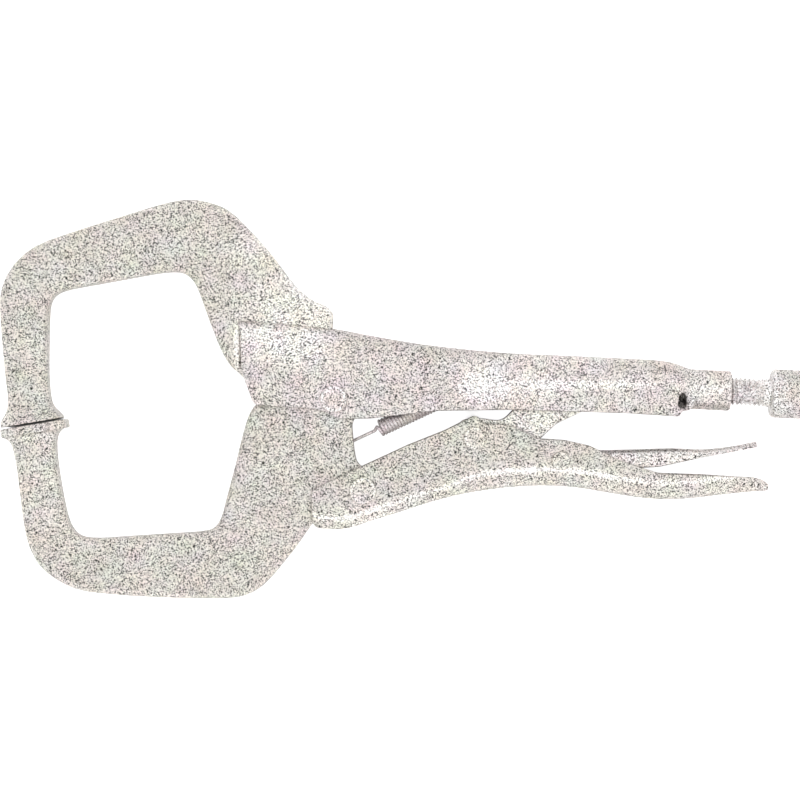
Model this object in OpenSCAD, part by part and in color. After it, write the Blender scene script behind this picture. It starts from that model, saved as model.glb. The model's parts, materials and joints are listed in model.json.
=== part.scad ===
// Locking C-clamp pliers, lying on one side with the jaws closed and the toggle locked.
// Shapes are drawn about the jaw pivot: X runs to the adjusting knob, Y towards the upper
// handle and Z along the rivets, with the middle plane of the tool at z = 0.
// placed() then moves each piece so that the tool lies on z = 0 with its centre at the origin.

/* [Jaws] */
// Distance from the jaw pivot to the inner face of the clamping arms
jaw_reach = 98; // [80:1:130]
// Thickness of the forged arms
jaw_thick = 12; // [9:0.5:15]
// Rounding along the edges of the forged arms
jaw_edge_r = 2.8; // [1:0.2:4]
// Width of the tips, measured along the rivets
tip_width = 19; // [13:0.5:19]
// Thickness of the lower tip's flat pad
pad_thick = 3; // [2:0.1:5]
// Gap between the two tips when the tool is closed
tip_gap = 0.6; // [0.4:0.1:3]
// Radius of the movable jaw's lug round the jaw pivot
lug_r = 9.4; // [8:0.1:9.6]

/* [Handles] */
// Distance from the jaw pivot to the rear end of the threaded tube
handle_length = 137; // [115:1:165]
// Thickness of the stamped sheet of both handles
sheet = 2.4; // [1.8:0.1:3]
// Outside radius of the upper handle's bends
upper_bend_r = 5; // [4:0.2:6]
// Outside radius of the lower handle's bends
lower_bend_r = 6; // [4.5:0.2:7]
// Outside diameter of the rolled tube
tube_d = 13.8; // [13:0.1:15]

/* [Toggle and lever] */
// Thickness of the toggle link
link_thick = 9; // [6:0.5:11]
// Radius of the link's nose, which faces the screw
nose_r = 4; // [3:0.2:5]
// Play between the link's nose and the tip of the screw
nose_play = 3.4; // [3.3:0.1:5]
// Thickness of the release lever's sheet
lever_sheet = 1.8; // [1.2:0.1:2.2]

/* [Rivets] */
// Shank radius of the jaw pivot and handle pivot rivets
pivot_rivet_r = 3.2; // [2.4:0.1:3.8]
// Shank radius of the link rivet
link_rivet_r = 2.8; // [2:0.1:3.2]
// Shank radius of the release lever's rivet
lever_rivet_r = 2; // [1.4:0.1:2.2]
// Height of a rivet head above the sheet
head_h = 1; // [0.6:0.1:2]

/* [Adjusting screw] */
// Outside diameter of the threaded rod
screw_d = 9.6; // [8:0.1:9.8]
// Diameter of the knurled knob
knob_d = 16.8; // [13:0.1:19]
// Length of the knurled knob
knob_length = 14; // [9:0.5:18]
// Gap between the tube and the knob with the tool closed
knob_gap = 13.8; // [6:0.2:22]
// Tilt of the screw's axis in the plane of the tool, in degrees
screw_tilt = 3; // [0:0.5:4]

/* [Spring] */
// Outside diameter of the coil
coil_d = 6; // [4:0.2:6.4]
// Wire diameter
wire_d = 1.1; // [0.8:0.1:1.2]
// Distance between two turns
coil_pitch = 1.3; // [1.3:0.05:2.5]

/* [Fits] */
// Clearance on each side between the channels and what moves in them
side_gap = 0.2; // [0.1:0.05:0.5]
// Radial clearance of a turning joint on its rivet
running_fit = 0.05; // [0.02:0.01:0.1]
// Clearance on each side between the lower handle and the release lever
lever_gap = 1; // [0.8:0.1:1.6]

/* [Hidden] */

$fn = 48;
inner_half = jaw_thick / 2 + side_gap;
outer_half = inner_half + sheet;
rest_height = outer_half + head_h;
slot_half = inner_half - 0.05;
// Bend radius where a slot takes the middle of the web away
slot_bend_r = sheet + 0.3;
arc_steps = 4;
curve_steps = 3;
arm_steps = 3;
deep = 4 * rest_height;

drawn_reach = 98;
drawn_length = 137;
back_of_throat = -28;
front_of_throat = -88;
front_of_grip = 40;

// Moves a point of a jaw's arm out or in with the reach, and keeps the width of the tips
function out(p) = [p[0] - (jaw_reach - drawn_reach)
    * max(0, min(1, (back_of_throat - p[0]) / (back_of_throat - front_of_throat))), p[1]];

// Moves a point of the handles back or forward with the handles' length
function along(p) = p[0] < front_of_grip ? p : [front_of_grip
    + (p[0] - front_of_grip) * (handle_length - front_of_grip) / (drawn_length - front_of_grip), p[1]];

jaw_pivot = [0, 0];
handle_pivot = [10, -31.5];
link_pivot = along([48.5, -13.5]);
nose_centre = along([91, 4.5]);
lever_pivot = along([78, -21.2]);
tube_start = 116;
tube_front = along([tube_start, 0])[0];
tube_middle = along([130, 3.1]);
knob_end = handle_length + knob_gap + knob_length;

// The tips part along a line that rises towards the throat
part_angle = 9.4;
part_middle = [-104, -8.5];
function part_y(x) = part_middle[1] + (out([x, 0]) - out(part_middle))[0] * tan(part_angle);

knob_chamfer = 1.2;
rear_x = tube_middle[0] + (knob_end - tube_middle[0]) * cos(screw_tilt)
    + (knob_d / 2 - knob_chamfer) * sin(screw_tilt);
arm_front = out([-115.12, 0])[0];
centre_x = (arm_front + rear_x) / 2;

module placed() {
    translate([-centre_x, 0, rest_height]) children();
}

// ---- outlines and lofts ----

function hermite(a, b, c, d, t) = 0.5 * (2 * b + (c - a) * t + (2 * a - 5 * b + 4 * c - d) * t * t
    + (3 * b - a - 3 * c + d) * t * t * t);

// Smooth curve through control values, with n steps from one to the next
function smooth(p, n) = [for (i = [0:len(p) - 2]) for (k = [0:n - 1])
    hermite(p[max(i - 1, 0)], p[i], p[i + 1], p[min(i + 2, len(p) - 1)], k / n), p[len(p) - 1]];

function reversed(p) = [for (i = [len(p) - 1:-1:0]) p[i]];

function turn(a) = a > 180 ? a - 360 : a < -180 ? a + 360 : a;

// One corner of an outline, at b between a and c, rounded to radius r
function corner(a, b, c, r, n = 5) =
    let (u = (a - b) / norm(a - b), v = (c - b) / norm(c - b), half = acos(max(-1, u * v)) / 2)
    r <= 0 || half > 89.5 ? [b] :
    let (cut = min(r / tan(half), 0.48 * norm(a - b), 0.48 * norm(c - b)), rr = cut * tan(half))
    let (o = b + (u + v) / norm(u + v) * rr / sin(half), s = b + u * cut - o, e = b + v * cut - o)
    let (from = atan2(s[1], s[0]), sweep = turn(atan2(e[1], e[0]) - from))
    [for (k = [0:n]) o + rr * [cos(from + sweep * k / n), sin(from + sweep * k / n)]];

// Outline from corners given as [x, y, radius]
function rounded(p) = [for (i = [0:len(p) - 1])
    let (a = p[(i + len(p) - 1) % len(p)], b = p[i], c = p[(i + 1) % len(p)])
    each corner([a[0], a[1]], [b[0], b[1]], [c[0], c[1]], b[2])];

function along_outline(o) = [for (p = o) let (q = along([p[0], p[1]])) [q[0], q[1], p[2]]];

module plate(thick, outline) {
    linear_extrude(height = thick, center = true) polygon(rounded(outline));
}

// Solid through a row of rings that are right-handed about the way they run.
// open_ring: each ring is a folded strip, so its ends are closed in pairs of points.
module loft(rings, open_ring = false) {
    n = len(rings[0]);
    m = len(rings);
    sides = [for (i = [0:m - 2]) for (j = [0:n - 1]) let (k = (j + 1) % n) each [
        [i * n + j, (i + 1) * n + j, (i + 1) * n + k], [i * n + j, (i + 1) * n + k, i * n + k]]];
    strip = [for (j = [0:n / 2 - 2]) each [[j, j + 1, n - 1 - j], [j + 1, n - 2 - j, n - 1 - j]]];
    first = open_ring ? strip : [[for (j = [0:n - 1]) j]];
    last = [for (f = first) [for (v = reversed(f)) v + (m - 1) * n]];
    polyhedron(points = [for (r = rings) each r], faces = concat(sides, first, last));
}

// Section of a forged arm: a rounded bar from the inner point to the outer point.
// s = [inner x, inner y, outer x, outer y, thickness]
function arm_ring(s) =
    let (a = out([s[0], s[1]]), b = out([s[2], s[3]]), far = norm(b - a), d = (b - a) / far)
    let (r = min(jaw_edge_r, s[4] / 2 - 1))
    [for (c = [0:3]) for (k = [0:arc_steps]) let (t = 90 * c + 90 * k / arc_steps)
        let (w = (c == 0 || c == 3 ? far - r : r) + r * cos(t))
        [a[0] + d[0] * w, a[1] + d[1] * w, (c < 2 ? 1 : -1) * (s[4] / 2 - r) + r * sin(t)]];

// Section of a U-channel. s = [x, height of the web, half width, bend radius],
// t = sheet thickness, foot = height of the walls' ends, up = 1 with the web on top, else -1
function u_ring(s, t, foot, up) =
    let (half = s[2], r = s[3], y = s[1] - up * r)
    let (wall = function (side, rr) [for (k = [0:arc_steps + 1])
        let (e = side < 0 ? k : arc_steps + 1 - k, q = 90 * e / (arc_steps + 1))
        [s[0], y + up * rr * sin(q), side * (half - r + rr * cos(q))]])
    concat([[s[0], foot, -half]], wall(-1, r), wall(1, r), [[s[0], foot, half]],
        [[s[0], foot, half - t]], reversed(concat(wall(-1, r - t), wall(1, r - t))),
        [[s[0], foot, t - half]]);

function placed_station(s) = let (p = along([s[0], s[1]])) [p[0], p[1], s[2], s[3]];

module channel(stations, t, foot, up) {
    rings = [for (s = smooth([for (s = stations) placed_station(s)], curve_steps)) u_ring(s, t, foot, up)];
    loft(up > 0 ? rings : reversed(rings), open_ring = true);
}

// Shape of a button head, as parts of its height: how far its top is drawn in, and its upright edge
button_in = 0.55;
button_edge = 0.25;

// Rivet through sheet faces at +-reach, with two low button heads
module rivet(at, r, head_r, reach) {
    translate([at[0], at[1], 0]) union() {
        cylinder(r = r, h = 2 * reach + head_h, center = true);
        for (side = [0, 1]) mirror([0, 0, side]) translate([0, 0, reach]) rotate_extrude()
            polygon(concat([[0, 0]], [for (k = [0:6]) [head_r - button_in * head_h * (1 - cos(15 * k)),
                head_h * (button_edge + (1 - button_edge) * sin(15 * k))]], [[0, head_h]]));
    }
}

module bore(at, r) {
    translate([at[0], at[1], 0]) cylinder(r = r, h = deep, center = true);
}

// Along the adjusting screw: x measured from the middle of the tube
module on_screw_axis() {
    translate([tube_middle[0], tube_middle[1], 0]) rotate([0, 0, -screw_tilt]) rotate([0, 90, 0]) children();
}

// ---- jaws ----

fixed_arm = [
    [-93.6, part_y(-93.6) + tip_gap / 2, -114.6, part_y(-114.6) + tip_gap / 2, tip_width],
    [-94.8, -4.9, -114.3, -7.6, tip_width - 0.8],
    [-97, -2.4, -113, -4.8, jaw_thick + 2.4],
    [-98, 1, -112.4, -0.8, jaw_thick],
    [-98.6, 9, -113.4, 9, jaw_thick],
    [-98.6, 18, -114.35, 19, jaw_thick],
    [-98.4, 27, -115.05, 30, jaw_thick],
    [-97.8, 33, -114.6, 38, jaw_thick],
    [-95.4, 36.2, -110.8, 45.8, jaw_thick],
    [-90.5, 37.9, -102.8, 52.8, jaw_thick],
    [-80, 39.8, -88, 58.3, jaw_thick],
    [-68, 42, -73, 63, jaw_thick],
    [-58.5, 43.6, -60, 67, jaw_thick],
    [-52.5, 43.5, -50.2, 68.8, jaw_thick],
    [-49, 41.2, -41, 67.2, jaw_thick],
    [-46.6, 37, -33.6, 63, jaw_thick],
    [-42.6, 26, -22.6, 51.3, jaw_thick],
    [-39, 17, -13.6, 39.6, jaw_thick],
    [-35.8, 11.6, -7.4, 34.1, jaw_thick],
    [-32, 8.2, -2.6, 32, jaw_thick],
    [-29.8, 5.6, -0.4, 29.5, jaw_thick],
    [-28.6, 4.4, -0.3, 26.4, jaw_thick],
    [-27.8, 3.4, -0.6, 23.4, jaw_thick]];

// Flats milled on both sides of the arm where it enters the upper handle
flats_x = -32.3;
flat_depth = 0.4;

// Shank inside the upper handle, flush with its walls
fixed_shank = [[-30.6, 5.4, 0], [-25, 4.4, 2], [-14, 8.8, 6], [-4, 12.4, 8], [9, 10.4, 6], [15, 5.5, 2],
    [15, 14.6, 2], [-2, 18.6, 1], [-30.6, 20, 0]];

module fixed_jaw() {
    color([0.83, 0.81, 0.79]) placed() union() {
        difference() {
            loft([for (s = smooth(fixed_arm, arm_steps)) arm_ring(s)]);
            for (side = [0, 1]) mirror([0, 0, side])
                translate([flats_x, 0, jaw_thick / 2 - flat_depth]) cube([50, 80, jaw_thick]);
        }
        plate(2 * inner_half, fixed_shank);
    }
}

movable_arm = [
    [-93.6, part_y(-93.6) - pad_thick - 0.2, -114, part_y(-114) - pad_thick - 0.2, tip_width - 1.6],
    [-95.2, -11.6, -111.9, -14.6, jaw_thick + 2],
    [-95.9, -15.2, -110.8, -17, jaw_thick],
    [-95.4, -22, -109.4, -23.6, jaw_thick],
    [-94.2, -30, -108.2, -33, jaw_thick],
    [-92.6, -38, -107, -42.5, jaw_thick],
    [-90.8, -43.6, -104.8, -51.6, jaw_thick],
    [-87.4, -47.2, -99.7, -59.3, jaw_thick],
    [-81, -48, -89.3, -65.4, jaw_thick],
    [-70, -47.3, -76, -67.4, jaw_thick],
    [-56, -46.4, -58, -68.5, jaw_thick],
    [-46, -45.7, -40, -68.8, jaw_thick],
    [-41.4, -44.4, -30.6, -67.8, jaw_thick],
    [-38.8, -40.6, -23.6, -63.7, jaw_thick],
    [-36.6, -32.6, -16.8, -56, jaw_thick],
    [-34, -22.8, -11, -48.4, jaw_thick],
    [-31.8, -13.6, -6, -41.4, jaw_thick],
    [-29.6, -6.2, 2.4, -34, jaw_thick],
    [-27.4, -2.4, 6.4, -20.6, jaw_thick],
    [-24.4, -0.6, 5.4, -12, jaw_thick]];

// Root between the jaw pivot and the handle pivot, a little thinner than the arm
movable_root = [[-25, -2.2, 4], [-13, 2.2, 8], [-6, 7.4, 8], [0, 12, 9], [8, 7.5, 9], [9.6, -2, 6],
    [6.2, -8.6, 5], [7, -17, 3], [8, -23, 5], [18, -26, 8], [19.6, -35, 9], [10, -42, 9], [-4, -41, 8],
    [-14, -40, 2]];
root_thick = jaw_thick - 0.2;
pad_length = 22.6;
pad_corner = 3;
pad_offset = 0.4;
spring_angle = 25;
spring_hook = [2.4, -16.4];
hook_play = 0.8;

module movable_jaw() {
    color([0.79, 0.77, 0.75]) placed() difference() {
        union() {
            loft(reversed([for (s = smooth(movable_arm, arm_steps)) arm_ring(s)]));
            intersection() {
                plate(root_thick, movable_root);
                union() {
                    bore(jaw_pivot, lug_r);
                    translate([-40, -70, -deep / 2]) cube([80, 70, deep]);
                }
            }
            translate([out(part_middle)[0], part_middle[1], 0]) rotate([0, 0, part_angle])
                translate([pad_offset, -tip_gap / 2 - pad_thick / 2, 0]) rotate([90, 0, 0])
                linear_extrude(height = pad_thick, center = true) polygon(rounded([
                    for (c = [[-1, -1], [1, -1], [1, 1], [-1, 1]])
                        [c[0] * pad_length / 2, c[1] * tip_width / 2, pad_corner]]));
        }
        bore(jaw_pivot, pivot_rivet_r + running_fit);
        bore(handle_pivot, pivot_rivet_r + running_fit);
        translate([spring_hook[0], spring_hook[1], 0]) rotate([0, 0, spring_angle])
            rotate([0, 90, 0]) cylinder(d = wire_d + hook_play, h = 12);
    }
}

// ---- upper handle ----

upper_web = [
    [-36, 27.4, outer_half, slot_bend_r],
    [-17, 25.8, outer_half, slot_bend_r],
    [-2, 24.5, outer_half, (slot_bend_r + upper_bend_r) / 2],
    [12, 22, outer_half, upper_bend_r],
    [24, 19.9, outer_half, upper_bend_r],
    [36, 18.2, outer_half, upper_bend_r],
    [58, 16, outer_half, upper_bend_r],
    [84, 14.8, outer_half, upper_bend_r],
    [106, 13.7, outer_half, upper_bend_r],
    [114, 13.1, outer_half - 0.4, upper_bend_r + 0.4],
    [119, 11.9, (outer_half + tube_d / 2) / 2, (outer_half + tube_d / 2) / 2 - 1.6],
    [123, 10.4, tube_d / 2, tube_d / 2 - 0.2],
    [125, 10.2, tube_d / 2, tube_d / 2 - 0.2]];
upper_outline = [[-35, 40, 0], [-32.2, 22, 0], [-31.6, 9.4, 6], [-27.4, -2.2, 3], [-5.5, -3.4, 12],
    [2, -6.8, 6], [12, -6.8, 6], [35, -4.1, 40], [62, -3.7, 60], [100, -4.9, 40], [118.8, -6.1, 1],
    [119.8, -4.1, 0.8], [122.8, -4, 3], [125.8, 3, 3], [126, 40, 0]];
// Window on each side where the walls close in to the tube
window = [[118.2, -3.1, 1], [121.2, -3.1, 1], [121.1, 0.4, 1.6], [120, 2.8, 0.7], [118.6, 0.4, 1.6]];
window_floor = 2.6;

upper_foot = -12;
slot_end = -0.4;
tab_x = 57;
tab_y = 2;
tab_height = 12.6;
tab_width = 6;
tab_thick = 1.6;

module upper_handle() {
    color([0.82, 0.80, 0.78]) placed() difference() {
        union() {
            intersection() {
                channel(upper_web, sheet, upper_foot, 1);
                plate(deep, along_outline(upper_outline));
            }
            on_screw_axis() translate([0, 0, tube_front - tube_middle[0]])
                cylinder(d = tube_d, h = handle_length - tube_front);
            // Tab for the spring, lanced from the web
            translate([along([tab_x, 0])[0], tab_y, -tab_width / 2]) cube([tab_thick, tab_height, tab_width]);
        }
        // Slot in the web for the fixed jaw
        translate([slot_end - 60, -20, -slot_half]) cube([60, 80, 2 * slot_half]);
        on_screw_axis() translate([0, 0, along([tube_start - 4, 0])[0] - tube_middle[0]])
            cylinder(d = screw_d + 2 * running_fit, h = 2 * (handle_length - tube_front));
        for (side = [0, 1]) mirror([0, 0, side]) translate([0, 0, window_floor])
            linear_extrude(height = deep) polygon(rounded(along_outline(window)));
        bore(jaw_pivot, pivot_rivet_r);
        translate([spring_hook[0], spring_hook[1], 0]) rotate([0, 0, spring_angle])
            translate([40, 0, 0]) rotate([0, 90, 0]) cylinder(d = wire_d + hook_play, h = 30);
    }
}

// ---- lower handle ----

lower_web = [
    [-12, -44.4, outer_half, slot_bend_r],
    [-4, -45, outer_half, slot_bend_r],
    [5, -44.6, outer_half, slot_bend_r],
    [13, -42, outer_half, slot_bend_r],
    [22, -39.2, outer_half, slot_bend_r],
    [33, -35.6, outer_half, slot_bend_r + 0.4],
    [45, -32.6, outer_half, slot_bend_r + 1],
    [58, -30.7, outer_half, lower_bend_r - 1.2],
    [71, -29.9, outer_half, lower_bend_r],
    [84, -30.6, outer_half, lower_bend_r],
    [96, -32.6, outer_half, lower_bend_r],
    [108, -34.3, outer_half, lower_bend_r],
    [120, -34.5, outer_half, lower_bend_r],
    [134, -33, outer_half, lower_bend_r],
    [144, -32, outer_half - 0.8, lower_bend_r],
    [150.2, -31.8, outer_half - 2.6, lower_bend_r - 0.6]];
lower_outline = [[4.8, -50, 0], [4.8, -45, 0.6], [-7.2, -44.4, 3], [-7.8, -31.2, 1.5],
    [4, -25.8, 20], [25.6, -15.8, 30], [38, -10.9, 8],
    [49.1, -5.4, 1.6], [51.4, -8.4, 2], [60, -8.6, 20], [70, -13.6, 10], [80, -14.2, 12], [88, -16, 8],
    [99, -21.4, 14], [112.5, -25.7, 8], [127, -26.1, 30], [146.5, -27.2, 4], [150, -29.4, 1.6],
    [149.6, -33, 1.2], [149.4, -50, 0]];
lower_foot = -4;
web_start = 20;

module lower_handle() {
    color([0.80, 0.78, 0.76]) placed() difference() {
        intersection() {
            channel(lower_web, sheet, lower_foot, -1);
            plate(deep, along_outline(lower_outline));
        }
        translate([-40, -60, -slot_half]) cube([40 + web_start, 60, 2 * slot_half]);
        bore(handle_pivot, pivot_rivet_r);
        bore(link_pivot, link_rivet_r);
        bore(lever_pivot, lever_rivet_r);
    }
}

// ---- toggle link and release lever ----

link_root = [[58, -7.6, 5], [51, -6.6, 5], [43, -7, 6], [41.6, -13.6, 6], [45, -20.4, 6], [53.5, -20.4, 6],
    [60, -17.6, 4], [66.4, -18, 2.4], [76.6, -8.6, 6], [85.2, -4.6, 8]];
link_top = [[84, 9, 6], [70, 4.6, 10]];
link_outline = concat(along_outline(link_root), [
    [nose_centre[0] + 0.6 * nose_r, nose_centre[1] - 0.8 * nose_r, 0],
    [nose_centre[0], nose_centre[1] + nose_r, 0]], along_outline(link_top));

module toggle_link() {
    color([0.74, 0.73, 0.71]) placed() difference() {
        union() {
            plate(link_thick, link_outline);
            translate([nose_centre[0], nose_centre[1], 0])
                cylinder(r = nose_r, h = link_thick, center = true);
        }
        bore(link_pivot, link_rivet_r + running_fit);
    }
}

lever_half = inner_half - lever_gap;
lever_front = along([66, 0])[0];
lever_back = along([84.5, 0])[0];
lever_web = [
    [84, -17.4, lever_half, 3],
    [93, -17.6, lever_half, 3],
    [104, -17.4, lever_half, 3],
    [117, -17, lever_half, 3],
    [127, -17.4, lever_half - 0.4, 3],
    [137, -16.4, lever_half - 0.8, 3],
    [146, -14.6, lever_half - 1.6, 3]];
lever_outline = [[67, -19.6, 1.5], [73, -16.6, 4], [84, -16, 2], [86, -10, 0], [147, -10, 0], [147, -16.6, 0],
    [137, -18.4, 10], [127, -20.2, 20], [112, -23.4, 20], [88, -24.6, 12], [74, -25.2, 4], [67, -22.6, 2]];

module release_lever() {
    color([0.78, 0.76, 0.74]) placed() difference() {
        intersection() {
            union() {
                channel(lever_web, lever_sheet, -30, 1);
                for (side = [0, 1]) mirror([0, 0, side])
                    translate([lever_front, -30, lever_half - lever_sheet])
                    cube([lever_back - lever_front, 16, lever_sheet]);
            }
            plate(deep, along_outline(lever_outline));
        }
        bore(lever_pivot, lever_rivet_r + running_fit);
    }
}

// ---- rivets ----

// How far the heads stand out past the shanks
pivot_head_rim = 1.6;
small_head_rim = 1.2;

module jaw_pivot_rivet() {
    color([0.86, 0.85, 0.83]) placed()
        rivet(jaw_pivot, pivot_rivet_r, pivot_rivet_r + pivot_head_rim, outer_half);
}

module handle_pivot_rivet() {
    color([0.86, 0.85, 0.83]) placed()
        rivet(handle_pivot, pivot_rivet_r, pivot_rivet_r + pivot_head_rim, outer_half);
}

module link_rivet() {
    color([0.86, 0.85, 0.83]) placed() rivet(link_pivot, link_rivet_r, link_rivet_r + small_head_rim, outer_half);
}

module lever_rivet() {
    color([0.86, 0.85, 0.83]) placed() rivet(lever_pivot, lever_rivet_r, lever_rivet_r + small_head_rim, outer_half);
}

// ---- adjusting screw ----

screw_r = screw_d / 2;
screw_tip = nose_centre[0] + nose_r + nose_play - tube_middle[0];
knob_start = handle_length + knob_gap - tube_middle[0];

module adjusting_screw() {
    color([0.77, 0.76, 0.73]) placed() on_screw_axis() rotate_extrude() polygon([
        [0, screw_tip], [screw_r - 1.6, screw_tip], [screw_r, screw_tip + 1.6], [screw_r, knob_start],
        [knob_d / 2 - 1.4, knob_start], [knob_d / 2, knob_start + 1.4],
        [knob_d / 2, knob_start + knob_length - knob_chamfer],
        [knob_d / 2 - knob_chamfer, knob_start + knob_length],
        [0, knob_start + knob_length]]);
}

// ---- spring ----

// Distances along the spring's axis from the hook in the movable jaw
tab_front = (along([tab_x, 0])[0] - spring_hook[0]) / cos(spring_angle);
wire_front = 0.8;
past_tab = 3.4;
coil_start = 15;
coil_end = tab_front - 10;
coil_sides = 10;
wire_sides = 5;
turns = floor((coil_end - coil_start) / coil_pitch);
last_step = turns * coil_sides;
// Steps over which the wire runs from the axis out to the coil, and how far each one goes
lead_steps = 6;
lead_rise = 0.7;

function unit(v) = v / norm(v);

// How far step k lies outside the coil's own steps
function lead(k) = max(-k, k - last_step, 0);

function spring_point(k) =
    let (r = (coil_d - wire_d) / 2 * (1 - lead(k) / lead_steps), t = 360 * k / coil_sides)
    [coil_start + (coil_end - coil_start) * min(max(k, 0), last_step) / last_step
        + lead_rise * lead(k) * sign(k), r * sin(t), r * cos(t)];

// Ring of wire round p, square to the way from a to b, turned to the coil's angle t
function wire_ring(a, p, b, t) =
    let (way = unit(b - a), out = [0, sin(t), cos(t)], u = unit(out - (out * way) * way), v = cross(way, u))
    [for (k = [0:wire_sides - 1]) let (q = 360 * k / wire_sides) p + wire_d / 2 * (u * cos(q) + v * sin(q))];

module tension_spring() {
    steps = [for (k = [-lead_steps:last_step + lead_steps]) k];
    inner = [for (k = steps) spring_point(k)];
    path = concat([[wire_front, 0, 0]], inner, [[tab_front + past_tab, 0, 0]]);
    angles = [for (k = concat([steps[0]], steps, [last_step + lead_steps])) 360 * k / coil_sides];
    n = len(path);
    color([0.7, 0.69, 0.67]) placed()
        translate([spring_hook[0], spring_hook[1], 0]) rotate([0, 0, spring_angle])
        loft([for (i = [0:n - 1])
            wire_ring(path[max(i - 1, 0)], path[i], path[min(i + 1, n - 1)], angles[i])]);
}

upper_handle();
fixed_jaw();
movable_jaw();
jaw_pivot_rivet();
lower_handle();
handle_pivot_rivet();
toggle_link();
link_rivet();
release_lever();
lever_rivet();
adjusting_screw();
tension_spring();
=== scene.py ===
import json
import math

import bmesh
import bpy
import numpy as np
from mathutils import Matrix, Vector


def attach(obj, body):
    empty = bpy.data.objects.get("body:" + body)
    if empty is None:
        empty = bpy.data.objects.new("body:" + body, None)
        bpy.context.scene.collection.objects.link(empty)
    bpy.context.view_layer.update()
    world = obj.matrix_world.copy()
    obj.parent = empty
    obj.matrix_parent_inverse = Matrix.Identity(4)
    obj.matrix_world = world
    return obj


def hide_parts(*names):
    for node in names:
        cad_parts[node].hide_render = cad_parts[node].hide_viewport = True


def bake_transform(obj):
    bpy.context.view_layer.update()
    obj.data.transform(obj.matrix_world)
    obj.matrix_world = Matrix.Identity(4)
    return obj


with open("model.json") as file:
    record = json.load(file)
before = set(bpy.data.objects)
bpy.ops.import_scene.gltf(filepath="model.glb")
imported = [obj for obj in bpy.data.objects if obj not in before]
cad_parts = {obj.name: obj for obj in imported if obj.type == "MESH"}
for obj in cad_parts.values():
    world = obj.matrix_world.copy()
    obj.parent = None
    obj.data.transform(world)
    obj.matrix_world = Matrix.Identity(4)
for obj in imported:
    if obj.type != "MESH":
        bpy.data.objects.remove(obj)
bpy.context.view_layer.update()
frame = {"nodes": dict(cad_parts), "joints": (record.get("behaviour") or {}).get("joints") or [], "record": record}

MM = 0.001

# ---- places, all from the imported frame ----


def joint(name):
    return next(j for j in frame["joints"] if j["name"] == name)


def node_points(node):
    """The different vertices of a CAD node, in a fixed order."""
    vertices = frame["nodes"][node].data.vertices
    return [Vector(p) for p in sorted({tuple(round(c, 7) for c in v.co) for v in vertices})]


def middle(points):
    return sum(points, Vector()) / len(points)


JAW_PIVOT = Vector(joint("jaw_pivot")["pos_m"])
MIDDLE_Z = JAW_PIVOT.z
SCREW_WAY = Vector(joint("screw_travel")["axis"]).normalized()
SCREW_MIDDLE = middle(node_points("adjusting_screw"))

BODY_OF = {n: body for body, members in frame["record"]["behaviour"]["bodies"].items() for n in members}

# ---- short forms for nodes ----


def new_material(name):
    mat = bpy.data.materials.new(name)
    mat.use_nodes = True
    mat.node_tree.nodes.clear()
    return mat, mat.node_tree.nodes, mat.node_tree.links


def feed(links, socket, value):
    """Gives the socket a number, a colour or the output of another node."""
    if isinstance(value, bpy.types.NodeSocket):
        links.new(value, socket)
    elif isinstance(value, tuple):
        socket.default_value = (*value, 1)
    else:
        socket.default_value = value


def noise(nodes, links, where, scale, detail, rough=0.5):
    node = nodes.new("ShaderNodeTexNoise")
    node.inputs["Scale"].default_value = scale
    node.inputs["Detail"].default_value = detail
    node.inputs["Roughness"].default_value = rough
    links.new(where, node.inputs["Vector"])
    return node


def ramp(nodes, links, value, stops):
    """Colour ramp through stops of (position, colour)."""
    node = nodes.new("ShaderNodeValToRGB")
    ends = node.color_ramp.elements
    for end, (at, colour) in ((ends[0], stops[0]), (ends[1], stops[-1])):
        end.position, end.color = at, (*colour, 1)
    for at, colour in stops[1:-1]:
        node.color_ramp.elements.new(at).color = (*colour, 1)
    links.new(value, node.inputs["Fac"])
    return node.outputs["Color"]


def mix(nodes, links, factor, a, b, kind="MIX"):
    node = nodes.new("ShaderNodeMix")
    node.data_type = "RGBA"
    node.blend_type = kind
    for name, value in (("Factor", factor), ("A", a), ("B", b)):
        feed(links, node.inputs[name], value)
    return node.outputs["Result"]


def maths(nodes, links, kind, a, b):
    node = nodes.new("ShaderNodeMath")
    node.operation = kind
    for socket, value in zip(node.inputs, (a, b)):
        feed(links, socket, value)
    return node.outputs[0]


def map_range(nodes, links, value, low, high, to_low, to_high):
    node = nodes.new("ShaderNodeMapRange")
    links.new(value, node.inputs["Value"])
    node.inputs["From Min"].default_value, node.inputs["From Max"].default_value = low, high
    node.inputs["To Min"].default_value, node.inputs["To Max"].default_value = to_low, to_high
    return node.outputs["Result"]


def tinted(level, tint):
    return tuple(level * c for c in tint)


# ---- metals ----

# Balance of red, green and blue in the coating of the jaws, the link and the lower handle with its rivets,
# and in that of the rest
FORGED_TINT = (1.05, 1.0, 0.935)
PRESSED_TINT = (1.08, 1.0, 0.975)

# Grains: how many to a metre, how bright they are from the dullest to the brightest, and the level that
# a weaker grain is drawn in to. They are turned out of line with the flat faces, so that no face lies
# along a plane of cells.
GRAIN_SCALE = 3400
GRAIN_LEVELS = [(0.0, 0.0), (0.21, 0.0), (0.3, 0.57), (0.6, 0.75), (1.0, 0.88)]
MEAN_LEVEL = 0.65
GRAIN_TURN = (0.6, 0.45, 0.3)

# The grains' relief
BUMP_SCALE = 0.7 * GRAIN_SCALE
BUMP_HEIGHT = 0.05 * MM
BUMP_STRENGTH = 0.35

# Slow mottling of the coating, in brightness and in hue, and how far it takes the roughness down and up
PATCH_SCALE = 90
PATCH_TONES = [(0.3, (0.95, 0.94, 0.93)), (0.7, (1.03, 1.04, 1.04))]
HUE_SCALE = 130
HUE_DRIFT = 0.18
SMOOTHER, ROUGHER = 0.07, 0.1

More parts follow.
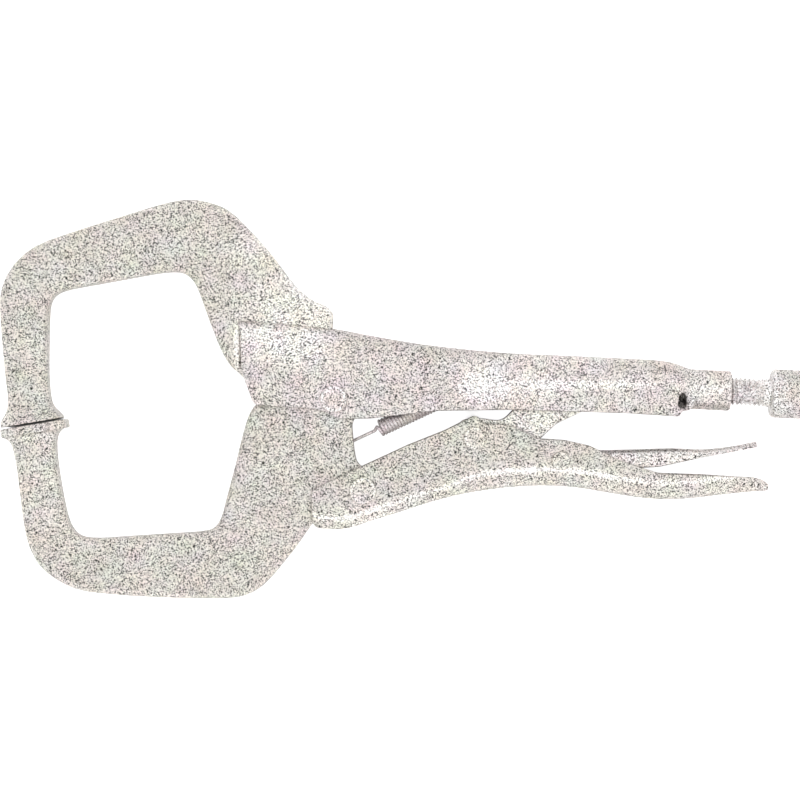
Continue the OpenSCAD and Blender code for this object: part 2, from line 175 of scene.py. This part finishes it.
# Painted highlight: where the painted light in the mesh's attribute rises through this range, the grains give way
# to even bright metal: the range, the greatest share of it and its level
HIGHLIGHT_RANGE = (1.34, 1.7)
HIGHLIGHT_SHARE = 0.9
HIGHLIGHT_LEVEL = 0.95

# Painted highlight on sharp edges: the range of pointiness, the greatest share and the level
SHARP_HIGHLIGHT_RANGE = (0.53, 0.62)
SHARP_HIGHLIGHT_SHARE = 0.4
SHARP_HIGHLIGHT_LEVEL = 0.8

# Painted shade darkens the coating where little open air is left within its reach
CAVITY_SHADE_REACH = 6 * MM
CAVITY_SHADE_RANGE = (0.04, 0.24)
CAVITY_SHADE_SAMPLES = 6


def satin_metal(name, tint, tone=1.0, grain=1.0, rough=0.42, darkest_shade=0.1, metallic=0.85):
    """Bead-blasted nickel: dark specks over a slow mottling, with painted highlights on edges and painted shade in
    deep cavities.

    The mesh's own painted-light attribute says how much each place of the mesh is painted lighter or darker.
    """
    mat, nodes, links = new_material(name)
    out = nodes.new("ShaderNodeOutputMaterial")
    shader = nodes.new("ShaderNodeBsdfPrincipled")
    links.new(shader.outputs["BSDF"], out.inputs["Surface"])
    turned_by = nodes.new("ShaderNodeMapping")
    turned_by.inputs["Rotation"].default_value = GRAIN_TURN
    links.new(nodes.new("ShaderNodeTexCoord").outputs["Object"], turned_by.inputs["Vector"])
    where = turned_by.outputs["Vector"]

    cells = nodes.new("ShaderNodeTexVoronoi")
    cells.inputs["Scale"].default_value = GRAIN_SCALE
    links.new(where, cells.inputs["Vector"])
    cell = nodes.new("ShaderNodeSeparateColor")
    links.new(cells.outputs["Color"], cell.inputs["Color"])
    levels = [(at, tone * (MEAN_LEVEL + grain * (level - MEAN_LEVEL))) for at, level in GRAIN_LEVELS]
    grains = ramp(nodes, links, cell.outputs["Red"], [(at, tinted(level, tint)) for at, level in levels])

    slow = noise(nodes, links, where, PATCH_SCALE, 3, 0.55).outputs["Fac"]
    coat = mix(nodes, links, 1.0, grains, ramp(nodes, links, slow, PATCH_TONES), "MULTIPLY")
    hue = noise(nodes, links, where, HUE_SCALE, 3).outputs["Color"]
    coat = mix(nodes, links, HUE_DRIFT, coat, mix(nodes, links, 1.0, coat, hue, "MULTIPLY"))

    # Painted light and shade from the mesh's attribute multiply the coating, and its brightest places turn to an
    # even painted highlight
    painted_level = nodes.new("ShaderNodeAttribute")
    painted_level.attribute_name = "painted_light"
    coat = mix(nodes, links, 1.0, coat, painted_level.outputs["Fac"], "MULTIPLY")
    highlight_share = map_range(nodes, links, painted_level.outputs["Fac"], *HIGHLIGHT_RANGE, 0, HIGHLIGHT_SHARE)
    coat = mix(nodes, links, highlight_share, coat, tinted(HIGHLIGHT_LEVEL, PRESSED_TINT))
    # Painted highlight on sharp convex edges
    pointiness = nodes.new("ShaderNodeNewGeometry").outputs["Pointiness"]
    sharp_highlight = map_range(nodes, links, pointiness, *SHARP_HIGHLIGHT_RANGE, 0, SHARP_HIGHLIGHT_SHARE)
    coat = mix(nodes, links, sharp_highlight, coat, tinted(SHARP_HIGHLIGHT_LEVEL, tint))

    # Painted shade in cavities, gaps and seams, from ambient occlusion
    open_air = nodes.new("ShaderNodeAmbientOcclusion")
    open_air.samples = CAVITY_SHADE_SAMPLES
    open_air.inputs["Distance"].default_value = CAVITY_SHADE_REACH
    unshaded = map_range(nodes, links, open_air.outputs["AO"], *CAVITY_SHADE_RANGE, darkest_shade, 1.0)
    coat = mix(nodes, links, 1.0, coat, unshaded, "MULTIPLY")
    links.new(coat, shader.inputs["Base Color"])

    roughness = map_range(nodes, links, slow, 0, 1, rough - SMOOTHER, rough + ROUGHER)
    links.new(roughness, shader.inputs["Roughness"])
    bump = nodes.new("ShaderNodeBump")
    bump.inputs["Strength"].default_value = BUMP_STRENGTH
    bump.inputs["Distance"].default_value = BUMP_HEIGHT
    links.new(noise(nodes, links, where, BUMP_SCALE, 2, 0.7).outputs["Fac"], bump.inputs["Height"])
    links.new(bump.outputs["Normal"], shader.inputs["Normal"])
    shader.inputs["Metallic"].default_value = metallic
    return mat


forged = satin_metal("forged_nickel", FORGED_TINT)
pressed = satin_metal("pressed_nickel", PRESSED_TINT, 1.03)
lower_pressed = satin_metal("lower_pressed_nickel", FORGED_TINT, 0.98)
# The turned coating is painted lighter, at tone 1.13, to offset the shade in the thread's grooves and the knob's
# knurl
turned = satin_metal("turned_nickel", PRESSED_TINT, 1.13, rough=0.36)
# The spring wire's coating is painted lighter, at tone 1.5, to offset the shade it lies in between the handles
wire_metal = satin_metal("spring_wire", PRESSED_TINT, 1.5, grain=0.6, rough=0.45, darkest_shade=0.95,
                         metallic=0.3)
bright = satin_metal("bright_nickel", PRESSED_TINT, 1.06, rough=0.34)
lower_bright = satin_metal("lower_bright_nickel", FORGED_TINT, 1.04, rough=0.34)

# ---- painted light and shade on the pieces ----

# Soft zones of painted light and shade: middle x and y, reach along x and y, all in mm, and the gain. A gain above
# zero is a painted highlight, and a gain below zero is painted shade, which lies only below the handles' outer
# faces.
PAINTED_ZONES = {
    "fixed_jaw": [
        (-38, 26, 18, 22, 0.3),         # where the arm goes into the handle
        (-52, 52, 9, 6, 0.15),          # the arm's shoulder
        (-58.2, 18.5, 1.3, 8.5, 0.4),   # the throat's edge beside the handle
    ],
    "upper_handle": [
        (94.7, -0.6, 2.2, 3.6, -0.9),   # painted shade in the window before the tube
        (104, 3, 12, 9, 0.2),           # the tube
        (-42, 20, 16, 8, 0.32),         # the cheek's front
        (26.5, 4.5, 9, 6, 0.4),         # the palm's patch, and a weaker one behind it
        (44, 4, 10, 6, 0.18),
        (65, 5, 26, 1.6, 0.3),          # painted highlight streak along the rear, and the face around it
        (62, 3, 30, 8, 0.03),
        (53, 13.4, 34, 2.4, 0.2),       # the bend into the web
    ],
    "adjusting_screw": [(118, 2, 12, 10, 0.32), (130, 1, 14, 12, 0.1)],
    "release_lever": [(100, -19, 60, 30, 0.22)],
    "toggle_link": [(40, -6, 30, 30, 0.35)],
    # painted shadow on the coil under the cheek's edge
    "tension_spring": [(-2.8, -5, 2.4, 1.4, -0.95)],
    "lower_handle": [(-14, -40, 14, 5, 0.12)],
    "movable_jaw": [(-125, -30, 9, 22, 0.06)],
}
OUTER_FACE = 8.6 * MM
SHADE_BELOW_FACE = 1 * MM

# Painted highlight along the lower handle's bend
BEND_LINE = 5.8 * MM     # its height over the lower edge
STEP_DROP = 1.9 * MM     # how much lower it runs in front of the step
STEP_AT = 18.5 * MM
STEP_REACH = 2 * MM
BEND_WIDTH = 1.25 * MM
BEND_HIGHLIGHT_GAIN = 0.56
BEND_LEAST = 0.74        # share of the gain that is left away from the brightest stretch
BRIGHTEST_AT = 46 * MM
BRIGHTEST_REACH = 28 * MM
COLUMN = 1 * MM          # width of the columns in which the lower edge is found

# Painted highlight ring on a rivet's head, as shares of its radius, and its gain
RING_AT = 0.84
RING_WIDTH = 0.14
RING_HIGHLIGHT_GAIN = 0.3

# Painted highlight on rounded edges, brightest where the surface leans by 45 degrees between a face and its flank
EDGE_HIGHLIGHT_GAIN = 0.22
EDGE_HIGHLIGHTS_ON = ("fixed_jaw", "movable_jaw", "lower_handle", "toggle_link", "release_lever")


def over_lower_edge(x, y):
    """Height of each point over the lower edge of the outline, column by column."""
    column = np.floor((x - x.min()) / COLUMN).astype(int)
    lowest = np.full(column.max() + 1, np.inf)
    np.minimum.at(lowest, column, y)
    return y - np.interp(x, x.min() + COLUMN * (np.arange(len(lowest)) + 0.5), lowest)


def painted_light(mesh, node):
    """Writes the painted light and shade of each place of the piece to its mesh attribute."""
    co = np.empty(3 * len(mesh.vertices))
    mesh.vertices.foreach_get("co", co)
    x, y, z = co.reshape(-1, 3).T
    inside = np.abs(z - MIDDLE_Z) < OUTER_FACE - SHADE_BELOW_FACE
    level = np.ones(len(x))
    # Painted highlights and painted shade of the zones
    for middle_x, middle_y, reach_x, reach_y, gain in PAINTED_ZONES.get(node, []):
        off = ((x / MM - middle_x) / reach_x) ** 2 + ((y / MM - middle_y) / reach_y) ** 2
        level += gain * np.exp(-off ** 2) * (inside if gain < 0 else 1)
    # Painted highlight along the lower handle's bend
    if node == "lower_handle":
        along = BEND_LEAST + (1 - BEND_LEAST) * np.exp(-((x - BRIGHTEST_AT) / BRIGHTEST_REACH) ** 4)
        line = BEND_LINE - STEP_DROP / (1 + np.exp((x - STEP_AT) / STEP_REACH))
        level += BEND_HIGHLIGHT_GAIN * along * np.exp(-((over_lower_edge(x, y) - line) / BEND_WIDTH) ** 2)
    # Painted highlight on rounded edges, by how the surface leans
    if node in EDGE_HIGHLIGHTS_ON:
        normals = np.empty(3 * len(x))
        mesh.vertex_normals.foreach_get("vector", normals)
        upright = normals[2::3] ** 2
        level += EDGE_HIGHLIGHT_GAIN * 4 * upright * (1 - upright)
    # Painted highlight ring on each rivet head
    if node.endswith("_rivet"):
        radius = np.hypot(x - (x.min() + x.max()) / 2, y - (y.min() + y.max()) / 2)
        level += RING_HIGHLIGHT_GAIN * np.exp(-((radius / radius.max() - RING_AT) / RING_WIDTH) ** 2)
    mesh.attributes.new("painted_light", "FLOAT", "POINT").data.foreach_set("value", level.astype(np.float32))


# ---- softened copies of the CAD pieces ----

# Size of the remeshing's voxels, and the distance within which vertices are joined before it
VOXEL = 0.35 * MM
WELD = 0.001 * MM


def applied(obj):
    """The object's mesh with its modifiers applied."""
    graph = bpy.context.evaluated_depsgraph_get()
    mesh = bpy.data.meshes.new_from_object(obj.evaluated_get(graph))
    obj.modifiers.clear()
    obj.data = mesh
    return mesh


def softened(node, voxel, rounds, material, body):
    """A copy of a CAD node, remeshed and smoothed so that its edges are worn round."""
    source = frame["nodes"][node]
    obj = bpy.data.objects.new(node + "_metal", source.data.copy())
    bpy.context.scene.collection.objects.link(obj)
    work = bmesh.new()
    work.from_mesh(obj.data)
    bmesh.ops.remove_doubles(work, verts=work.verts, dist=WELD)
    work.to_mesh(obj.data)
    work.free()
    remesh = obj.modifiers.new("remesh", "REMESH")
    remesh.mode = "VOXEL"
    remesh.voxel_size = voxel
    smooth = obj.modifiers.new("smooth", "SMOOTH")
    smooth.factor = 0.5
    smooth.iterations = rounds
    mesh = applied(obj)
    mesh.polygons.foreach_set("use_smooth", [True] * len(mesh.polygons))
    mesh.materials.clear()
    mesh.materials.append(material)
    painted_light(mesh, node)
    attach(obj, body)
    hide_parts(node)
    return obj


# The metal of each softened piece, and its rounds of smoothing
FINISH = {
    "fixed_jaw": (forged, 5),
    "movable_jaw": (forged, 5),
    "upper_handle": (pressed, 6),
    "lower_handle": (lower_pressed, 5),
    "toggle_link": (forged, 3),
    "release_lever": (pressed, 3),
}
for node, (material, rounds) in FINISH.items():
    softened(node, VOXEL, rounds, material, BODY_OF[node])

# ---- turned and wound pieces ----


def mesh_piece(name, points, faces, material, node):
    """A smooth-shaded piece from points and faces, which stands for the CAD node or a share of it."""
    mesh = bpy.data.meshes.new(name)
    mesh.from_pydata([tuple(p) for p in points], [], faces)
    mesh.validate()
    mesh.polygons.foreach_set("use_smooth", [True] * len(mesh.polygons))
    mesh.materials.append(material)
    painted_light(mesh, node)
    obj = bpy.data.objects.new(name, mesh)
    bpy.context.scene.collection.objects.link(obj)
    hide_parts(node)
    return obj


def closed_rings(rings):
    """Points and faces of a solid through rings of points, which run right-handed along it."""
    n = len(rings[0])
    points = [p for ring in rings for p in ring] + [middle(rings[0]), middle(rings[-1])]
    faces = [(i * n + j, i * n + (j + 1) % n, (i + 1) * n + (j + 1) % n, (i + 1) * n + j)
             for i in range(len(rings) - 1) for j in range(n)]
    last = (len(rings) - 1) * n
    faces += [(len(points) - 2, (j + 1) % n, j) for j in range(n)]
    faces += [(len(points) - 1, last + j, last + (j + 1) % n) for j in range(n)]
    return points, faces


def across(way):
    """Two directions square to way and to each other, right-handed with it."""
    side = way.cross(Vector((0, 0, 1)))
    side = side.normalized() if side.length > 0.1 else Vector((1, 0, 0))
    return side, way.cross(side)


def turned_rings(at, way, profile, sides, radius_at=lambda r, along, angle: r):
    """Rings of a revolved profile of (distance along the axis, radius)."""
    u, v = across(way)
    rings = []
    for along, r in profile:
        ring = []
        for k in range(sides):
            angle = 2 * math.pi * k / sides
            reach = radius_at(r, along, angle)
            ring.append(at + way * along + (u * math.cos(angle) + v * math.sin(angle)) * reach)
        rings.append(ring)
    return rings


def profile_of(node, at, way):
    """The revolved profile of a CAD node: (distance along the axis, radius) of its vertices."""
    found = set()
    for p in node_points(node):
        along = (p - at).dot(way)
        found.add((round(along, 6), round((p - at - way * along).length, 6)))
    return sorted(found)


def saw(x):
    """Goes from 0 at a whole number up to 1 halfway to the next, and back."""
    return 1 - abs(2 * (x % 1) - 1)


def held(x):
    """The number, held between 0 and 1."""
    return min(1, max(0, x))


# ---- rivets ----

# Half of a head's section, from the dished middle over the rolled rim to the shank under the head: radius
# as a share of the rim's, and height as a share of the head's.
RIVET_HEAD = 1.0 * MM
RIVET_SECTION = [(0.08, 0.62), (0.4, 0.62), (0.56, 0.76), (0.68, 0.96), (0.76, 1.0), (0.86, 0.95),
                 (0.94, 0.76), (0.99, 0.45), (1.0, 0.2), (1.0, -0.15), (0.6, -0.15)]
RIVET_SIDES = 64
RIVETS = {
    "jaw_pivot_rivet": bright,
    "handle_pivot_rivet": lower_bright,
    "link_rivet": lower_bright,
    "lever_rivet": lower_bright,
}


def rivet_piece(node, material):
    """Rivet with a rolled rim and a dished middle on each head."""
    points = node_points(node)
    at = middle(points)
    reach = max(p.z for p in points) - at.z
    rim = max((Vector((p.x, p.y)) - Vector((at.x, at.y))).length for p in points)
    top = [(reach - RIVET_HEAD + RIVET_HEAD * z, rim * r) for r, z in RIVET_SECTION]
    profile = [(-along, r) for along, r in top] + top[::-1]
    rings = turned_rings(at, Vector((0, 0, 1)), profile, RIVET_SIDES)
    obj = mesh_piece(node + "_turned", *closed_rings(rings), material, node)
    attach(obj, BODY_OF[node])


for node, material in RIVETS.items():
    rivet_piece(node, material)

# ---- adjusting screw ----

# The thread: FLANK is how steep its flanks are, and ROOT how far below the root they start, so that both
# root and crest come out flat
PITCH = 1.5 * MM
THREAD_DEPTH = 0.7 * MM
FLANK = 1.35
ROOT = 0.15
TIP_CHAMFER = 1.6 * MM
PLAIN_NECK = 1.6 * MM
ROD_SIDES = 72
ROWS_A_PITCH = 10

# The knurl: a tooth slopes up over KNURL_RISE of the way from a groove to its middle, and is flat from there
TEETH = 44
SIDES_A_TOOTH = 8
KNURL_RISE = 0.6
ROW_HEIGHT = 0.16 * MM
KNURL_DEPTH = 0.42 * MM
KNURL_FADE = 0.6 * MM
KNOB_BEVEL = 1.4 * MM
KNOB_LIP = 0.2 * MM
BEVEL_ANGLES = (0.2, 0.6, 1.0, 1.4)


def screw_pieces():
    """Threaded rod and diamond-knurled knob on the adjusting screw's axis."""
    node = "adjusting_screw"
    profile = profile_of(node, SCREW_MIDDLE, SCREW_WAY)
    tip, end = profile[0][0], profile[-1][0]
    # The rod's radius is found near the tip, and the knob starts where the profile steps out from it
    rod_r = max(r for along, r in profile if along < tip + 0.3 * (end - tip))
    knob_r = max(r for along, r in profile)
    knob_from = min(along for along, r in profile if r > rod_r + 1 * MM)

    def thread(r, along, angle):
        """A groove with a flat root and a flat crest, which fades out before the knob."""
        turn = (along - tip) / PITCH - angle / (2 * math.pi)
        groove = 1 - held(FLANK * saw(turn) - ROOT)
        return r - THREAD_DEPTH * groove * held((knob_from - PLAIN_NECK - along) / PITCH)

    steps = math.ceil((knob_from - tip) / (PITCH / ROWS_A_PITCH))
    rod = [(tip, rod_r - TIP_CHAMFER)]
    for i in range(1, steps + 1):
        along = tip + (knob_from + 0.5 * MM - tip) * i / steps
        rod.append((along, min(rod_r, rod_r - TIP_CHAMFER + along - tip)))
    rings = turned_rings(SCREW_MIDDLE, SCREW_WAY, rod, ROD_SIDES, thread)
    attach(mesh_piece("threaded_rod", *closed_rings(rings), turned, node), BODY_OF[node])

    def knurl(r, along, angle):
        """Diamonds with flat tops between two sets of crossing grooves, which fade out at the bevels."""
        along_knob = (along - knob_from) * TEETH / (2 * math.pi * knob_r)
        round_knob = TEETH * angle / (2 * math.pi)
        height = min(saw(round_knob + along_knob), saw(round_knob - along_knob))
        inside = min(along - knob_from, end - along) - KNOB_BEVEL
        return r - KNURL_DEPTH * (1 - held(height / KNURL_RISE)) * held(inside / KNURL_FADE)

    bevel = [(KNOB_BEVEL * (1 - math.cos(a)), knob_r - KNOB_BEVEL + KNOB_BEVEL * math.sin(a))
             for a in BEVEL_ANGLES]
    straight = end - knob_from - 2 * KNOB_BEVEL
    rows = math.ceil(straight / ROW_HEIGHT)
    lip_r = knob_r - KNOB_BEVEL - KNOB_LIP
    knob = [(knob_from, 0.3 * knob_r), (knob_from, lip_r)]
    knob += [(knob_from + along, r) for along, r in bevel]
    knob += [(knob_from + KNOB_BEVEL + straight * i / rows, knob_r) for i in range(rows + 1)]
    knob += [(end - along, r) for along, r in reversed(bevel)]
    knob += [(end, lip_r), (end, 0.5 * knob_r), (end, 0.2 * knob_r)]
    rings = turned_rings(SCREW_MIDDLE, SCREW_WAY, knob, TEETH * SIDES_A_TOOTH, knurl)
    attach(mesh_piece("knurled_knob", *closed_rings(rings), turned, node), BODY_OF[node])


screw_pieces()

# ---- spring ----

WIRE = 1.1 * MM
WINDING = 1.15 * MM
STEPS_A_TURN = 24
# Where the wire leaves the coil for the axis: its steps, and how far it leads away from the coil
STEPS_OUT = 18
RUN_OUT = 2.6 * MM
WIRE_SIDES = 10


def tube_rings(line, radius, sides, first_normal):
    """Rings of a round wire along a line of points, without twist."""
    rings, normal = [], first_normal
    for i, p in enumerate(line):
        tangent = (line[min(i + 1, len(line) - 1)] - line[max(i - 1, 0)]).normalized()
        normal = (normal - tangent * normal.dot(tangent)).normalized()
        other = tangent.cross(normal)
        rings.append([p + (normal * math.cos(a) + other * math.sin(a)) * radius
                      for a in (2 * math.pi * j / sides for j in range(sides))])
    return rings


def spring_piece():
    """Close-wound coil with straight ends, from the movable jaw to the tab in the upper handle."""
    node = "tension_spring"
    co = np.array([tuple(p) for p in node_points(node)])
    way = Vector(np.linalg.svd(co - co.mean(0), full_matrices=False)[2][0])
    if way.x < 0:
        way = -way
    at = middle([Vector(p) for p in co])
    profile = profile_of(node, at, way)
    start, end = profile[0][0], profile[-1][0]
    # The coil is the stretch near the profile's widest, and straight ends lie before and behind it
    outer = max(r for along, r in profile)
    wound = [along for along, r in profile if r > 0.85 * outer]
    first, last = min(wound), max(wound)
    length = last - first - WIRE
    turns = round(length / WINDING)
    u, v = across(way)
    line = [at + way * start, at + way * (start + 0.5 * (first - start))]
    for k in range(-STEPS_OUT, turns * STEPS_A_TURN + STEPS_OUT + 1):
        # How far the wire has run out of the coil towards the axis, from 0 to 1
        out = max(-k, k - turns * STEPS_A_TURN, 0) / STEPS_OUT
        r = (outer - WIRE / 2) * (0.5 + 0.5 * math.cos(math.pi * out))
        angle = 2 * math.pi * k / STEPS_A_TURN
        along = first + WIRE / 2 + length * held(k / STEPS_A_TURN / turns)
        along += math.copysign(RUN_OUT * out ** 1.5, k)
        line.append(at + way * along + (u * math.cos(angle) + v * math.sin(angle)) * r)
    line += [at + way * (end - 0.4 * (end - last)), at + way * end]
    rings = tube_rings(line, WIRE / 2, WIRE_SIDES, u)
    obj = mesh_piece("coil_spring", *closed_rings(rings), wire_metal, node)
    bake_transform(obj)


spring_piece()

# ---- camera, straight above the tool ----

VIEW_WIDTH = 276.6 * MM
VIEW_X, VIEW_Y = -2.2 * MM, -0.35 * MM
LENS, SENSOR = 135, 36

camera_data = bpy.data.cameras.new("camera")
camera_data.lens = LENS
camera_data.sensor_width = SENSOR
camera = bpy.data.objects.new("camera", camera_data)
bpy.context.scene.collection.objects.link(camera)
camera.location = (VIEW_X, VIEW_Y, MIDDLE_Z + VIEW_WIDTH * LENS / SENSOR)
bpy.context.scene.camera = camera

# ---- floor, world and lights ----

FLOOR_REACH = 3.0
FLOOR_Z = -0.02 * MM
FLOOR_WHITE = (0.8, 0.8, 0.8)
# The floor's own light: FLOOR_SEEN to the camera where the sky over the floor is open, down to none at the low end
# of the range, which paints a shadow close under the tool and in narrow gaps, and FLOOR_MIRRORED in reflections
FLOOR_SKY_REACH = 4 * MM
FLOOR_SKY_RANGE = (0.26, 0.5)
FLOOR_SEEN = 0.9
FLOOR_MIRRORED = 0.36

# Strength of the world at the horizon and overhead, and what the lower handle's side has more than the
# middle and the other side has less
WORLD_LOW, WORLD_HIGH = 0.9, 1.09
WORLD_SIDE = 0.1


def white_ground(nodes, links, shader, seen, mirrored):
    """Adds plain white light to what the camera sees, and to what shiny pieces see, on top of shader."""
    path = nodes.new("ShaderNodeLightPath").outputs
    shiny = maths(nodes, links, "MAXIMUM", path["Is Glossy Ray"], path["Is Transmission Ray"])
    to_camera = maths(nodes, links, "MULTIPLY", path["Is Camera Ray"], seen)
    to_pieces = maths(nodes, links, "MULTIPLY", shiny, mirrored)
    glow = nodes.new("ShaderNodeEmission")
    links.new(maths(nodes, links, "ADD", to_camera, to_pieces), glow.inputs["Strength"])
    add = nodes.new("ShaderNodeAddShader")
    links.new(shader, add.inputs[0])
    links.new(glow.outputs[0], add.inputs[1])
    return add.outputs[0]


def make_floor():
    """White floor with a painted shadow, from ambient occlusion, only close under the tool and in narrow gaps."""
    mesh = bpy.data.meshes.new("floor")
    corners = [(x * FLOOR_REACH, y * FLOOR_REACH, FLOOR_Z) for x, y in ((-1, -1), (1, -1), (1, 1), (-1, 1))]
    mesh.from_pydata(corners, [], [(0, 1, 2, 3)])
    floor = bpy.data.objects.new("floor", mesh)
    bpy.context.scene.collection.objects.link(floor)
    mat, nodes, links = new_material("floor_white")
    diffuse = nodes.new("ShaderNodeBsdfDiffuse")
    diffuse.inputs["Color"].default_value = (*FLOOR_WHITE, 1)
    open_sky = nodes.new("ShaderNodeAmbientOcclusion")
    open_sky.inputs["Distance"].default_value = FLOOR_SKY_REACH
    seen = map_range(nodes, links, open_sky.outputs["AO"], *FLOOR_SKY_RANGE, 0, FLOOR_SEEN)
    out = nodes.new("ShaderNodeOutputMaterial")
    ground = white_ground(nodes, links, diffuse.outputs[0], seen, FLOOR_MIRRORED)
    links.new(ground, out.inputs["Surface"])
    mesh.materials.append(mat)


make_floor()


def make_world():
    """White light, a little stronger from above and from the side of the lower handle.

    The camera sees it at full strength everywhere, so that low views have a white horizon too.
    """
    world = bpy.data.worlds.new("world")
    bpy.context.scene.world = world
    world.use_nodes = True
    nodes, links = world.node_tree.nodes, world.node_tree.links
    ground = nodes["Background"]
    ground.inputs["Color"].default_value = (1, 1, 1, 1)
    way = nodes.new("ShaderNodeSeparateXYZ")
    links.new(nodes.new("ShaderNodeTexCoord").outputs["Generated"], way.inputs["Vector"])
    by_height = map_range(nodes, links, way.outputs["Z"], 0, 1, WORLD_LOW, WORLD_HIGH)
    by_side = map_range(nodes, links, way.outputs["Y"], -1, 1, WORLD_SIDE, -WORLD_SIDE)
    strength = maths(nodes, links, "ADD", by_height, by_side)
    to_camera = nodes.new("ShaderNodeLightPath").outputs["Is Camera Ray"]
    links.new(maths(nodes, links, "MAXIMUM", strength, to_camera), ground.inputs["Strength"])


make_world()


def area_light(name, place, size, power):
    """A soft light at the place, which faces the tool."""
    data = bpy.data.lights.new(name, "AREA")
    data.shape = "RECTANGLE"
    data.size, data.size_y = size
    data.energy = power
    light = bpy.data.objects.new(name, data)
    light.location = place
    light.rotation_euler = (-Vector(place)).to_track_quat("-Z", "Y").to_euler()
    bpy.context.scene.collection.objects.link(light)


area_light("overhead", (0.1, 0.1, 1.4), (1.6, 1.3), 1.8)
area_light("rear", (0.1, 0.8, 0.35), (0.9, 0.25), 0.3)
area_light("front", (0.2, -0.8, 0.3), (0.9, 0.25), 0.3)

scene = bpy.context.scene
scene.view_settings.view_transform = "Standard"
